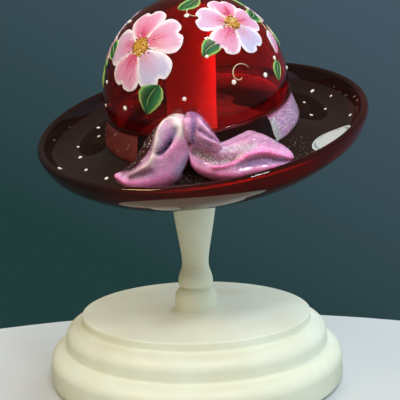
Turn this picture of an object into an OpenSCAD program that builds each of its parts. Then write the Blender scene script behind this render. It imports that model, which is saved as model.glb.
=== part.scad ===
// Ruby glass hat hung at a tilt on a turned wooden stand
// Origin: centre of the stand's underside. +Z up, -Y towards the viewer. Millimetres.

/* [Base] */
// Radius of the lowest tier
base_lower_r = 77.4; // [72:0.2:100]
// Width of the lowest tier's shoulder and step
base_lower_w = 7.9; // [5:0.1:12]
// Width of the middle tier's shoulder and step
base_middle_w = 8.5; // [5:0.1:12]
// Height of the flat top above the table
base_h = 33.4; // [30:0.2:60]
// Height at which the middle tier meets the lowest one
base_lower_h = 17.4; // [14:0.2:19]
// Height at which the top tier meets the middle one
base_middle_h = 28.8; // [26:0.2:29.5]
// Height of the rounded shoulder on each tier
base_shoulder_h = 6.5; // [3:0.5:7]
// Width of the flat step at the foot of a tier
base_step_w = 1; // [0.4:0.2:3]
// Rounding of the top edge
base_edge_r = 0.7; // [0.3:0.1:2]
// Rounding of the bottom edge
base_foot_round = 2; // [1:0.5:4]

/* [Felt under the base] */
// Distance of the felt's edge inside the lowest tier
felt_inset = 9.4; // [4:0.2:40]
// Thickness of the felt disc
felt_h = 2; // [1:0.2:4]
// How far the felt stands below the wood
felt_proud = 0.6; // [0.2:0.1:0.9]
// Gap around the felt in its recess
felt_gap = 0.3; // [0.1:0.1:1]

/* [Screw] */
// Radius of the screw's shank
screw_r = 2.25; // [1.5:0.25:3]
// Radius of the screw's head
screw_head_r = 4.5; // [4:0.25:6]
// Height of the countersunk head
screw_head_h = 2.8; // [2:0.2:4]
// Depth of the screw in the stem
screw_grip = 24; // [10:1:30]
// Length of the screw's point
screw_point_h = 5; // [2:1:8]
// Arm width of the cross recess
screw_slot_w = 1.2; // [0.8:0.1:1.6]
// Depth of the cross recess
screw_slot_h = 1.6; // [1:0.2:1.8]
// Radial gap around the shank in the base
screw_gap = 0.3; // [0.1:0.1:0.6]

/* [Stem] */
// Length of the stem above the base
stem_h = 157.2; // [140:0.2:200]
// Radius of the foot
stem_foot_r = 11.35; // [10:0.1:16]
// Height of the straight part of the foot
stem_foot_h = 5.5; // [3:0.5:8]
// Height of the foot's rounded shoulder
stem_shoulder_h = 5.4; // [3:0.2:7]
// Radius in the groove above the foot
stem_groove_r = 7.6; // [7:0.1:9]
// Width of the groove
stem_groove_w = 0.8; // [0.5:0.1:1.5]
// Radius of the bead above the groove
stem_bead_r = 9.35; // [9.1:0.05:10]
// Height of the neck above the base
stem_neck_h = 24.7; // [22:0.1:30]
// Radius of the neck
stem_neck_r = 7.15; // [6:0.05:9]
// Height at which the flare reaches the straight post
stem_flare_h = 78; // [60:1:100]
// Radius of the straight post
stem_post_r = 13; // [10:0.2:16]
// Rounding at the top of the post
stem_top_round = 1.5; // [0.5:0.5:3]

/* [Pad on the stem] */
// Distance of the pad's edge inside the post
pad_inset = 2; // [1.6:0.2:6]
// Thickness of the pad under the crown's highest point
pad_h = 3; // [2.4:0.2:6]
// Gap between the pad and the glass
pad_gap = 0.3; // [0.2:0.1:0.6]

/* [Hat] */
// Outer radius of the domed crown
crown_r = 48.2; // [44:0.2:56]
// Thickness of the crown's glass
crown_wall = 4.4; // [3:0.2:6]
// Height of the dome's centre above the foot of the band
crown_side_h = 20; // [18:0.5:40]
// Forward tilt of the hat
hat_tilt_front = 22.3; // [0:0.1:26]
// Tilt of the hat towards its left
hat_tilt_side = 7.7; // [0:0.1:12]
// How far the hat hangs to the right of the stem's axis
hat_shift = 2.5; // [0:0.1:4]
// Height of the flare that carries the ribbon band
flare_h = 13.8; // [10:0.2:15]
// How far the crown stands out over the flare
crown_ledge = 0.8; // [0.4:0.1:1.6]
// How far the flare spreads towards its foot
flare_spread = 4.8; // [2:0.1:7]
// Radius of the bead at the crown's foot
crown_bead_r = 0.9; // [0.5:0.1:1.4]
// Width of the brim, from the flare's foot to the rim
brim_w = 35; // [30:0.2:50]
// Height of the rim's top above the foot of the band
rim_h = 7.2; // [6:0.2:12]
// Radius of the rim's rounded edge
rim_round = 2; // [1.4:0.1:2.4]
// Depth of the brim's underside below the foot of the band
brim_drop = 12; // [11:0.2:14]
// How far the opening under the crown spreads
mouth_spread = 2.2; // [0.8:0.2:4]

/* [Ribbon band] */
// Thickness of the raised enamel
band_t = 0.8; // [0.4:0.1:1.5]
// Gap between the enamel and the glass
band_gap = 0.1; // [0.05:0.05:0.3]
// Bare stretch at the foot and the top of the flare
band_margin = 0.6; // [0.2:0.2:2]
// Where the band starts, right of the front
band_from = 40; // [20:1:60]
// Where the band ends, left of the front
band_to = 41; // [20:1:60]

/* [Bow] */
// Height of the knot's top above the foot of the band
bow_h = 25; // [22:0.5:28]
// How far the bow spreads out on the brim
bow_w = 16; // [12:0.5:18]
// How far the left loop swells out
loop_swell = 6; // [3:0.5:8]
// How far the right tail swells out
tail_swell = 5; // [3:0.5:7]
// How far the knot swells out
knot_swell = 4.5; // [3:0.5:6]
// How deep the bow is fused into the glass
bow_sink = 0.6; // [0.3:0.1:1]

/* [Sticker] */
// Length of the oval
label_l = 30; // [20:1:34]
// Width of the oval
label_w = 13; // [8:1:16]
// Thickness of the paper
label_t = 0.3; // [0.2:0.1:0.6]
// Distance of its centre inside the rim
label_inset = 16.7; // [15:0.1:19]
// Its place around the brim, right of the front
label_at = 62; // [40:1:120]
// Turn of the oval's long axis, from the radius
label_turn = 60; // [-90:1:90]

/* [Hidden] */
$fn = 96;
eps = 0.01;
cut = 1;

cream = "#e2e2cc";
felt_green = "#38493c";
felt_white = "#dcd6c6";
steel = "#b9bcc0";
ruby = "#5c0f18";
pink = "#d08fb4";
paper = "#dfe0dc";

// Shape of the stem's cove and flare
stem_bead_l = 1;
stem_cove_top = 5.5;
stem_cove_foot = 4.2;
stem_flare_foot = 9.3;
stem_flare_top = 28;
stem_flare_slope = 0.4;

// Shape of the brim's upper face: its dip by the flare and its rise to the rim
brim_dip_w = 8;
brim_dip_h = 6.5;
brim_rise_w = 7.5;
brim_rise_h = 8.5;
rim_foot_w = 5.7;
rim_foot_h = 8.2;
rim_start_angle = 165;

// Shape of the rim's outside, then of the underside, then of the mouth
edge_lean_w = 1.2;
edge_lean_h = 5;
edge_tuck_w = 2;
edge_tuck_h = 9;
edge_w = 4.2;
edge_h = 10.7;
under_w = 5.5;
under_h = 11.6;
under_pull_w = 10;
under_pull_h = 14.4;
under_reach = 8;
brim_low_w = 21.2;
brim_low_flat = 1;
mouth_pull_w = 6;
mouth_pull_h = 2;
mouth_h = 4.5;
throat_h = 5.5;
throat_pull_w = 1;
throat_pull_h = 8;
throat_top_pull = 2;
throat_top_h = 4;

// Lean and fullness of a bow lobe
lobe_lean_angle = 40;
lobe_fullness_ratio = 0.8;
lobe_end_angle = 15;
lobe_back_ratio = 4;

base_middle_r = base_lower_r - base_lower_w;
base_top_r = base_middle_r - base_middle_w;
felt_r = base_lower_r - felt_inset;
pad_r = stem_post_r - pad_inset;
flare_top_r = crown_r - crown_ledge;
flare_foot_r = flare_top_r + flare_spread;
brim_r = flare_foot_r + brim_w;
mouth_r = crown_r - crown_wall + mouth_spread;
label_at_r = brim_r - label_inset;
wood_z = felt_proud;
felt_top_z = felt_h;
stem_top_z = base_h + stem_h;
crown_in_r = crown_r - crown_wall;
dome_z = stem_top_z + pad_h + pad_gap - crown_in_r;
screw_top_z = base_h + screw_grip;

// Points on an ellipse's arc
function arc(c, rx, rz, from, to, n) =
    [for (i = [0:n]) let (a = from + (to - from) * i / n) c + [rx * cos(a), rz * sin(a)]];

// Points on a cubic curve from p0 to p3
function curve(p0, p1, p2, p3, n) =
    [for (i = [0:n]) let (t = i / n, u = 1 - t)
        u * u * u * p0 + 3 * u * u * t * p1 + 3 * u * t * t * p2 + t * t * t * p3];

// One tier's foot step, rounded shoulder and upright side, from its top down
function tier(inner_r, outer_r, top_z) =
    let (foot_r = inner_r + base_step_w)
    concat([[inner_r, top_z]],
           arc([foot_r, top_z - base_shoulder_h], outer_r - foot_r, base_shoulder_h, 90, 0, 12));

base_profile = concat(
    [[0, wood_z], [0, base_h]],
    arc([base_top_r - base_edge_r, base_h - base_edge_r], base_edge_r, base_edge_r, 90, 0, 4),
    tier(base_top_r, base_middle_r, base_middle_h),
    tier(base_middle_r, base_lower_r, base_lower_h),
    arc([base_lower_r - base_foot_round, wood_z + base_foot_round],
        base_foot_round, base_foot_round, 0, -90, 6));

module base() {
    color(cream)
    difference() {
        rotate_extrude()
            polygon(base_profile);
        translate([0, 0, wood_z - cut])
            cylinder(r = felt_r + felt_gap, h = felt_top_z - wood_z + cut);
        cylinder(r = screw_r + screw_gap, h = base_h + cut);
        translate([0, 0, felt_top_z - eps])
            cylinder(r1 = screw_head_r + screw_gap, r2 = screw_r + screw_gap, h = screw_head_h + screw_gap);
    }
}

module base_felt() {
    color(felt_green)
        cylinder(r = felt_r, h = felt_h);
}

module base_screw() {
    color(steel)
    difference() {
        union() {
            translate([0, 0, felt_top_z])
                cylinder(r1 = screw_head_r, r2 = screw_r, h = screw_head_h);
            translate([0, 0, felt_top_z + screw_head_h - eps])
                cylinder(r = screw_r, h = screw_top_z - screw_point_h - felt_top_z - screw_head_h + eps);
            translate([0, 0, screw_top_z - screw_point_h])
                cylinder(r1 = screw_r, r2 = 0, h = screw_point_h);
        }
        for (turn = [0, 90])
            rotate([0, 0, turn])
                translate([-screw_head_r / 2, -screw_slot_w / 2, felt_top_z - cut])
                    cube([screw_head_r, screw_slot_w, screw_slot_h + cut]);
    }
}

stem_groove_h = stem_foot_h + stem_shoulder_h;
stem_bead_h = stem_groove_h + stem_groove_w + stem_bead_r - stem_groove_r;

stem_profile = concat(
    [[0, 0], [stem_foot_r, 0]],
    arc([stem_groove_r, stem_foot_h], stem_foot_r - stem_groove_r, stem_shoulder_h, 0, 90, 8),
    arc([stem_groove_r, stem_bead_h], stem_bead_r - stem_groove_r, stem_bead_r - stem_groove_r, -90, 0, 5),
    curve([stem_bead_r, stem_bead_h + stem_bead_l], [stem_bead_r, stem_bead_h + stem_cove_top],
          [stem_neck_r, stem_neck_h - stem_cove_foot], [stem_neck_r, stem_neck_h], 12),
    curve([stem_neck_r, stem_neck_h], [stem_neck_r, stem_neck_h + stem_flare_foot],
          [stem_post_r - stem_flare_slope, stem_flare_h - stem_flare_top], [stem_post_r, stem_flare_h], 18),
    arc([stem_post_r - stem_top_round, stem_h - stem_top_round], stem_top_round, stem_top_round, 0, 90, 5),
    [[0, stem_h]]);

module stem() {
    color(cream)
    translate([0, 0, base_h])
    difference() {
        rotate_extrude()
            polygon(stem_profile);
        translate([0, 0, -cut])
            cylinder(r = screw_r, h = screw_grip - screw_point_h + cut);
        translate([0, 0, screw_grip - screw_point_h - eps])
            cylinder(r1 = screw_r, r2 = 0, h = screw_point_h + eps);
    }
}

// The pad's top takes the shape of the crown that hangs on it
module stem_pad() {
    color(felt_white)
    intersection() {
        translate([0, 0, stem_top_z])
            cylinder(r = pad_r, h = pad_h + cut);
        translate([hat_shift, 0, dome_z])
            sphere(r = crown_in_r - pad_gap, $fn = 128);
    }
}

// Places a shape drawn in the hat's own frame: its foot of the band at height 0, its axis along +Z
module hung() {
    translate([hat_shift, 0, dome_z])
        rotate([hat_tilt_front, -hat_tilt_side, 0])
            translate([0, 0, -crown_side_h])
                children();
}

dome_step_count = 30;
rim_c = [brim_r - rim_round, rim_h - rim_round];
rim_foot = [brim_r - rim_foot_w, rim_h - rim_foot_h];
brim_low = [brim_r - brim_low_w, -brim_drop];

// The brim's upper face, from the flare's foot out to the foot of the rim
brim_top = curve([flare_foot_r, 0], [flare_foot_r + brim_dip_w, -brim_dip_h],
                 rim_foot - [brim_rise_w, brim_rise_h], rim_foot, 24);

// The brim's edge and underside, from the rim's outside in to the mouth
rim_side = [brim_r, rim_c.y];
brim_under = concat(
    curve(rim_side, rim_side - [edge_lean_w, edge_lean_h], rim_side - [edge_tuck_w, edge_tuck_h],
          rim_side - [edge_w, edge_h], 10),
    curve(rim_side - [under_w, under_h], rim_side - [under_pull_w, under_pull_h],
          brim_low + [under_reach, 0], brim_low, 12),
    curve(brim_low - [brim_low_flat, 0], brim_low - [under_reach, 0],
          [mouth_r + mouth_pull_w, mouth_pull_h - brim_drop], [mouth_r, mouth_h - brim_drop], 10));

// The mouth's inner edge, up to the crown's upright wall
throat = curve([mouth_r, throat_h - brim_drop], [mouth_r - throat_pull_w, throat_pull_h - brim_drop],
               [crown_in_r, -throat_top_pull], [crown_in_r, throat_top_h], 8);

hat_profile = concat(
    arc([0, crown_side_h], crown_r, crown_r, 90, 0, dome_step_count),
    arc([crown_r, flare_h + crown_bead_r], crown_bead_r, crown_bead_r, 90, -90, 8),
    [[flare_top_r, flare_h]],
    brim_top,
    arc(rim_c, rim_round, rim_round, rim_start_angle, 0, 10),
    brim_under,
    throat,
    arc([0, crown_side_h], crown_in_r, crown_in_r, 0, 90, dome_step_count));

module glass_hat() {
    color(ruby)
    hung()
        rotate_extrude($fn = 128)
            polygon(hat_profile);
}

// Radius of the flare's glass at height h
function flare_r(h) = flare_foot_r + (flare_top_r - flare_foot_r) * h / flare_h;

// Raised enamel ribbon, open at the front behind the bow
module hat_band() {
    foot = band_margin;
    top = flare_h - band_margin;
    inner = band_gap;
    outer = band_gap + band_t;
    color(pink)
    hung()
        rotate([0, 0, band_from - 90])
            rotate_extrude(angle = 360 - band_from - band_to, $fn = 128)
                polygon([[flare_r(foot) + inner, foot], [flare_r(foot) + outer, foot],
                         [flare_r(top) + outer, top], [flare_r(top) + inner, top]]);
}

// A place on the hat: angle right of the front, distance from the axis, height
function on_hat(p) = [p[1] * sin(p[0]), -p[1] * cos(p[0]), p[2]];

// Radius of the glass at height h above the brim, and height of the brim's face at radius r
function skin_r(h) = h > flare_h ? crown_r : flare_r(max(h, 0));
function brim_z(r) = lookup(r, brim_top);

// One cross-section of a bow lobe: its upper and lower edges, a swollen front, and a back sunk in the glass
lobe_step_count = 8;
lobe_smooth_count = 3;
function lobe_ring(upper, lower, swell) =
    let (out = on_hat([(upper[0] + lower[0]) / 2, cos(lobe_lean_angle), sin(lobe_lean_angle)]),
         back_upper = [upper[0], skin_r(upper[2]) - bow_sink, upper[2]],
         back_lower = lower[2] > 0 ? [lower[0], skin_r(lower[2]) - bow_sink, lower[2]]
                                   : [lower[0], lower[1], brim_z(lower[1]) - bow_sink],
         back_mid = [(upper[0] + lower[0]) / 2, flare_foot_r - bow_sink,
                     min(0, lower[2]) / lobe_back_ratio - bow_sink],
         back_corner = lower[2] > 0 ? (back_upper + back_lower) / 2 : back_mid)
    concat([for (i = [0:lobe_step_count]) let (t = i / lobe_step_count)
                on_hat(upper) * (1 - t) + on_hat(lower) * t
                + out * swell * pow(sin(180 * t), lobe_fullness_ratio)],
           [on_hat(back_lower), on_hat(back_corner), on_hat(back_upper)]);

// Centre of a ring of points
function mean(points) =
    let (ones = [for (p = points) 1 / len(points)])
    ones * points;

// A smooth line through the listed places, with n steps between each two
function smooth(p, n) =
    concat([for (i = [0:len(p) - 2], k = [0:n - 1])
                let (t = k / n, a = p[max(i - 1, 0)], b = p[i], c = p[i + 1], d = p[min(i + 2, len(p) - 1)])
                b + t / 2 * (c - a + t * (2 * a - 5 * b + 4 * c - d + t * (3 * (b - c) + d - a)))],
           [p[len(p) - 1]]);

// A lobe lofted through its cross-sections, thinner at its two ends
module lobe(upper_places, lower_places, swell) {
    upper = smooth([for (p = upper_places) bow_place(p)], lobe_smooth_count);
    lower = smooth([for (p = lower_places) bow_place(p)], lobe_smooth_count);
    last = len(upper) - 1;
    rings = [for (i = [0:last])
        let (turn = lobe_end_angle + (180 - 2 * lobe_end_angle) * i / last)
        lobe_ring(upper[i], lower[i], swell * sqrt(sin(turn)))];
    n = len(rings[0]);
    points = concat([for (ring = rings) each ring], [mean(rings[0]), mean(rings[last])]);
    sides = [for (i = [0:last - 1], j = [0:n - 1])
        let (a = i * n + j, b = i * n + (j + 1) % n)
        each [[a, b, b + n], [a, b + n, a + n]]];
    ends = [for (j = [0:n - 1]) let (k = (j + 1) % n)
        each [[k, j, len(rings) * n], [last * n + j, last * n + k, len(rings) * n + 1]]];
    polyhedron(points, concat(sides, ends));
}

// Edges of the three lobes: angle right of the front, distance off the glass as a part of bow_w,
// height as a part of bow_h
loop_upper = [[-9, 0.3, 0.88], [-14, 0.3, 0.92], [-21, 0.3, 0.8], [-29, 0.364, 0.52],
              [-37, 0.231, 0.16], [-44, 0.3, -0.08], [-47, 0.55, -0.16]];
loop_lower = [[-8, 0.496, 0.36], [-11, 0.447, 0.04], [-17, 0.675, -0.16], [-25, 0.862, -0.2],
              [-33, 0.987, -0.2], [-41, 0.862, -0.2], [-46, 0.675, -0.2]];
tail_upper = [[-6, 0.395, 0.52], [0, 0.395, 0.52], [8, 0.308, 0.36], [19, 0.33, 0.4],
              [27, 0.33, 0.4], [34, 0.252, 0.2], [39, 0.3, 0], [38, 0.675, -0.12]];
tail_lower = [[-7, 0.365, 0.12], [-6, 0.487, -0.12], [1, 0.675, -0.2], [10, 0.8, -0.2],
              [18, 0.8, -0.2], [26, 0.925, -0.2], [33, 0.925, -0.2], [37, 0.8, -0.2]];
knot_upper = [[-8, 0.362, 0.96], [-5, 0.425, 1], [-1.5, 0.425, 0.94],
              [2, 0.425, 0.78], [5, 0.425, 0.58], [8, 0.371, 0.36]];
knot_lower = [[-8.5, 0.425, 0.84], [-6.5, 0.612, 0.72], [-3, 0.675, 0.6],
              [0.5, 0.675, 0.46], [4, 0.579, 0.34], [7, 0.452, 0.28]];

// An edge place as angle, radius and height on the hat
function bow_place(p) =
    let (h = p[2] * bow_h)
    [p[0], skin_r(h) + p[1] * bow_w, h];

module bow_left_loop() {
    color(pink)
    hung()
        lobe(loop_upper, loop_lower, loop_swell);
}

module bow_right_tail() {
    color(pink)
    hung()
        lobe(tail_upper, tail_lower, tail_swell);
}

module bow_knot() {
    color(pink)
    hung()
        lobe(knot_upper, knot_lower, knot_swell);
}

// Oval of paper that follows the brim's upper face
label_step_count = 48;
module label() {
    oval = [for (i = [1:label_step_count])
        let (a = 360 * i / label_step_count)
        [label_l / 2 * cos(a), label_w / 2 * sin(a)]];
    color(paper)
    hung()
    intersection() {
        rotate_extrude($fn = 128)
            polygon(concat(brim_top, [for (i = [len(brim_top) - 1:-1:0]) brim_top[i] + [0, label_t]]));
        translate(on_hat([label_at, label_at_r, -brim_drop]))
            rotate([0, 0, label_at - 90 + label_turn])
                linear_extrude(height = brim_drop + rim_h)
                    polygon(oval);
    }
}

base();
base_felt();
base_screw();
stem();
stem_pad();
glass_hat();
hat_band();
bow_left_loop();
bow_right_tail();
bow_knot();
label();
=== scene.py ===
import bpy
import bmesh
import math
import random
from mathutils import Matrix, Vector, kdtree, noise


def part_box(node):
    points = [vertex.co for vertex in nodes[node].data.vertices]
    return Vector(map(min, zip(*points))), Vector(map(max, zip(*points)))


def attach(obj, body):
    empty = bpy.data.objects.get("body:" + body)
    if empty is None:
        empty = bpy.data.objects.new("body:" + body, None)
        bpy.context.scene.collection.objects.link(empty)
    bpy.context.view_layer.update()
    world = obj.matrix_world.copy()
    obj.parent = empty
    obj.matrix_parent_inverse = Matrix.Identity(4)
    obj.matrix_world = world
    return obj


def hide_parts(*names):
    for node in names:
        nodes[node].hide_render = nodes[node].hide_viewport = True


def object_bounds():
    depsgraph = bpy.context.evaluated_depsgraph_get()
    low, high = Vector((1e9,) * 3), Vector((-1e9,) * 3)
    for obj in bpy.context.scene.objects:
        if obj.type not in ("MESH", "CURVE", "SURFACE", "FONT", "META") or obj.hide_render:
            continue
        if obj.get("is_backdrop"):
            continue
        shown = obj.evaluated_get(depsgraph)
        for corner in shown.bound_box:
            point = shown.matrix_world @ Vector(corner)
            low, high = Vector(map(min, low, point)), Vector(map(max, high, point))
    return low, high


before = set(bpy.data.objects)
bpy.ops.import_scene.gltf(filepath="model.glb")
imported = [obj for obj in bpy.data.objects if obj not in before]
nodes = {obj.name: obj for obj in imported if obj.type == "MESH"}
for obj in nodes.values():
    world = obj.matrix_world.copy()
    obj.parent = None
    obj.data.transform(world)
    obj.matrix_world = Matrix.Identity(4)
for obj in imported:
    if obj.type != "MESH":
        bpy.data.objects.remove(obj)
cad_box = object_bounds()

# Base. A three-tier plinth turned from one block of wood, sanded, and brushed with cream paint.
# The gouge left a small cove at the back of each step, and the shoulders are rolled over.
MM = 0.001


def linear(hex_colour):
    channels = [int(hex_colour[i:i + 2], 16) / 255 for i in (0, 2, 4)]
    return tuple(c / 12.92 if c <= 0.04045 else ((c + 0.055) / 1.055) ** 2.4 for c in channels) + (1.0,)


def add(tree, kind, links=None, **settings):
    made = tree.nodes.new(kind)
    for key, value in settings.items():
        setattr(made, key, value)
    for key, value in (links or {}).items():
        if isinstance(value, bpy.types.NodeSocket):
            tree.links.new(value, made.inputs[key])
        else:
            made.inputs[key].default_value = value
    return made


def new_material(name):
    material = bpy.data.materials.new(name)
    material.use_nodes = True
    tree = material.node_tree
    return material, tree, tree.nodes["Principled BSDF"]


# Part of an ellipse about a centre, from one angle to another in degrees
def arc(centre, size, start, end, steps):
    turns = [math.radians(start + (end - start) * i / steps) for i in range(steps + 1)]
    return [(centre[0] + size[0] * math.cos(a), centre[1] + size[1] * math.sin(a)) for a in turns]


# Turns a profile of radius and height about the upright axis. A point on the axis becomes one vertex.
def lathe(profile, segments):
    points, rows, faces = [], [], []
    for r, h in profile:
        count = segments if r > 1e-6 else 1
        rows.append([len(points) + i for i in range(count)])
        turns = [2 * math.pi * i / segments for i in range(count)]
        points += [Vector((r * math.cos(a), r * math.sin(a), h)) for a in turns]
    for one, two in zip(rows, rows[1:]):
        for i in range(segments):
            k = (i + 1) % segments
            corners = (one[i % len(one)], two[i % len(two)], two[k % len(two)], one[k % len(one)])
            faces.append(list(dict.fromkeys(corners)))
    return points, faces


# A piece on one of the two bodies, in one finish. Edges that turn by more than the crease stay sharp.
def new_piece(name, points, faces, material, body, slot, crease=40, at=Matrix.Identity(4)):
    mesh = bpy.data.meshes.new(name)
    mesh.from_pydata([(at @ Vector(p)) * MM for p in points], [], faces)
    bm = bmesh.new()
    bm.from_mesh(mesh)
    bmesh.ops.recalc_face_normals(bm, faces=bm.faces)
    bm.to_mesh(mesh)
    bm.free()
    mesh.materials.append(material)
    mesh.polygons.foreach_set("use_smooth", [True] * len(mesh.polygons))
    mesh.set_sharp_from_angle(angle=math.radians(crease))
    piece = bpy.data.objects.new(name, mesh)
    bpy.context.scene.collection.objects.link(piece)
    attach(piece, body)
    return piece


# Satin water-based paint on turned wood: a soft sheen, the gouge's slow rings under the film,
# slightly yellower where the coat is thin, and the brush's fine ripple.
paint, tree, shader = new_material("cream satin paint on turned wood")
PATCH_MM, RIPPLE_MM, RING_MM, RIPPLE_DEPTH_MM = 26.0, 1.6, 15.08, 0.3
# A wave texture of scale 1 has a ring every tau / 20 units
WAVE_TURN = math.tau / 20
place = add(tree, "ShaderNodeTexCoord").outputs["Object"]
patches = add(tree, "ShaderNodeTexNoise", {"Vector": place, "Scale": 1000 / PATCH_MM, "Detail": 3.0})
thin = add(tree, "ShaderNodeMapRange", {"Value": patches.outputs[0], 1: 0.38, 2: 0.66})
cream = add(tree, "ShaderNodeMix", {0: thin.outputs[0], 6: linear("DDE4D4"), 7: linear("D8DBC6")},
            data_type="RGBA")
tree.links.new(cream.outputs[2], shader.inputs["Base Color"])
rings = add(tree, "ShaderNodeTexWave",
            {"Vector": place, "Scale": WAVE_TURN * 1000 / RING_MM, "Distortion": 0.6},
            wave_type="RINGS", rings_direction="Z")
ripple = add(tree, "ShaderNodeTexNoise", {"Vector": place, "Scale": 1000 / RIPPLE_MM, "Detail": 4.0})
relief = add(tree, "ShaderNodeMath", {0: rings.outputs["Fac"], 1: ripple.outputs[0]}, operation="ADD")
bump = add(tree, "ShaderNodeBump",
           {"Height": relief.outputs[0], "Strength": 0.06, "Distance": RIPPLE_DEPTH_MM * MM})
tree.links.new(bump.outputs[0], shader.inputs["Normal"])
satin = add(tree, "ShaderNodeMapRange", {"Value": ripple.outputs[0], 3: 0.34, 4: 0.48})
tree.links.new(satin.outputs[0], shader.inputs["Roughness"])
shader.inputs["Coat Weight"].default_value = 0.12
shader.inputs["Coat Roughness"].default_value = 0.25
BASE_LOWER_R, BASE_MIDDLE_R, BASE_TOP_R = 77.4, 69.5, 61.0
BASE_H, BASE_MIDDLE_H, BASE_LOWER_H = 33.4, 28.8, 17.4
SHOULDER_H, STEP_W, EDGE_R, FOOT_ROUND = 6.5, 1.0, 0.7, 2.0
COVE_R, COVE_END, COVE_CLEAR = 1.4, 265, 0.2
FELT_RECESS_R, FELT_H = 68.3, 2.0
wood_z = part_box("base")[0].z / MM


# One step, from the cove against the tier above to the foot of its rolled shoulder
def tier(inner_r, outer_r, top):
    shoulder_w = outer_r - inner_r - STEP_W
    shoulder = arc((inner_r + STEP_W, top - SHOULDER_H), (shoulder_w, SHOULDER_H), 90, 0, 24)
    return (arc((inner_r + COVE_R, top + COVE_R), (COVE_R, COVE_R), 180, COVE_END, 10)
            + [point for point in shoulder if point[0] > inner_r + COVE_R + COVE_CLEAR])


base_profile = ([(0, FELT_H), (FELT_RECESS_R, FELT_H), (FELT_RECESS_R, wood_z)]
                + arc((BASE_LOWER_R - FOOT_ROUND, wood_z + FOOT_ROUND), (FOOT_ROUND, FOOT_ROUND), -90, 0, 8)
                + tier(BASE_MIDDLE_R, BASE_LOWER_R, BASE_LOWER_H)[::-1]
                + tier(BASE_TOP_R, BASE_MIDDLE_R, BASE_MIDDLE_H)[::-1]
                + arc((BASE_TOP_R - EDGE_R, BASE_H - EDGE_R), (EDGE_R, EDGE_R), 0, 90, 6) + [(0, BASE_H)])
base = new_piece("turned_base", *lathe(base_profile, 192), paint, "stand", "painted_wood")
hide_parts("base")

# Felt disc let into the underside of the base, so that it does not scratch a table.
# Pressed wool, cut with a die and glued in.
FIBRE_MM, FIBRE_DEPTH_MM = 0.6, 0.3


# Pressed wool: quite matt, with a bloom of loose fibres. The fibres are drawn coarser than real ones,
# which are 0.02 mm, so that they show.
def pressed_wool(name, dark, light, fuzz, bloom):
    material, tree, shader = new_material(name)
    place = add(tree, "ShaderNodeTexCoord").outputs["Object"]
    fibres = add(tree, "ShaderNodeTexNoise", {"Vector": place, "Scale": 1000 / FIBRE_MM, "Detail": 6.0})
    wool = add(tree, "ShaderNodeMix", {0: fibres.outputs[0], 6: linear(dark), 7: linear(light)},
               data_type="RGBA")
    tree.links.new(wool.outputs[2], shader.inputs["Base Color"])
    bump = add(tree, "ShaderNodeBump",
               {"Height": fibres.outputs[0], "Strength": fuzz, "Distance": FIBRE_DEPTH_MM * MM})
    tree.links.new(bump.outputs[0], shader.inputs["Normal"])
    shader.inputs["Roughness"].default_value = 0.95
    shader.inputs["Sheen Weight"].default_value = bloom
    return material


# Gives a solid of the frame its finish and leaves its mesh as it is
def dress(node_name, material):
    mesh = nodes[node_name].data
    mesh.materials.clear()
    mesh.materials.append(material)
    for face in mesh.polygons:
        face.material_index = 0


dress("base_felt", pressed_wool("pressed wool felt", "24352A", "4B6550", 0.5, 0.4))

# Wood screw that draws the stem down on the base, with its head under the felt.
# Zinc-plated steel: pale blue-grey, with a fine satin tumble finish.
zinc, tree, shader = new_material("zinc-plated steel")
TUMBLE_MM = 0.8
place = add(tree, "ShaderNodeTexCoord").outputs["Object"]
tumble = add(tree, "ShaderNodeTexNoise", {"Vector": place, "Scale": 1000 / TUMBLE_MM, "Detail": 3.0})
worn = add(tree, "ShaderNodeMapRange", {"Value": tumble.outputs[0], 3: 0.25, 4: 0.45})
tree.links.new(worn.outputs[0], shader.inputs["Roughness"])
shader.inputs["Base Color"].default_value = linear("B4B8BE")
shader.inputs["Metallic"].default_value = 1.0
dress("base_screw", zinc)

# Stem. A turned spindle in the same paint: straight foot, round shoulder, groove, bead, neck and a long
# flare that runs on as a straight post inside the crown. It is screwed to the base and carries the hat.
STEM_FOOT_R, STEM_FOOT_H, STEM_SHOULDER_H = 11.35, 5.5, 5.4
STEM_GROOVE_R, STEM_GROOVE_W, STEM_BEAD_R, STEM_BEAD_L = 7.6, 0.8, 9.35, 1.0
STEM_NECK_R, STEM_NECK_H, STEM_POST_R, STEM_FLARE_H, STEM_TOP_ROUND = 7.15, 24.7, 13.0, 78.0, 1.5
stem_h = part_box("stem")[1].z / MM - BASE_H
bead_round = STEM_BEAD_R - STEM_GROOVE_R
bead_h = STEM_FOOT_H + STEM_SHOULDER_H + STEM_GROOVE_W + bead_round


# A smooth line from start to end, given by the steps to its two handles: one from the start as it
# leaves, one from the end as it arrives
def curve(start, leave, arrive, end, steps):
    corners = (start, (start[0] + leave[0], start[1] + leave[1]),
               (end[0] + arrive[0], end[1] + arrive[1]), end)
    points = []
    for i in range(steps + 1):
        t = i / steps
        weights = ((1 - t) ** 3, 3 * (1 - t) ** 2 * t, 3 * (1 - t) * t * t, t ** 3)
        points.append(tuple(sum(w * p[k] for w, p in zip(weights, corners)) for k in (0, 1)))
    return points


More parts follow.
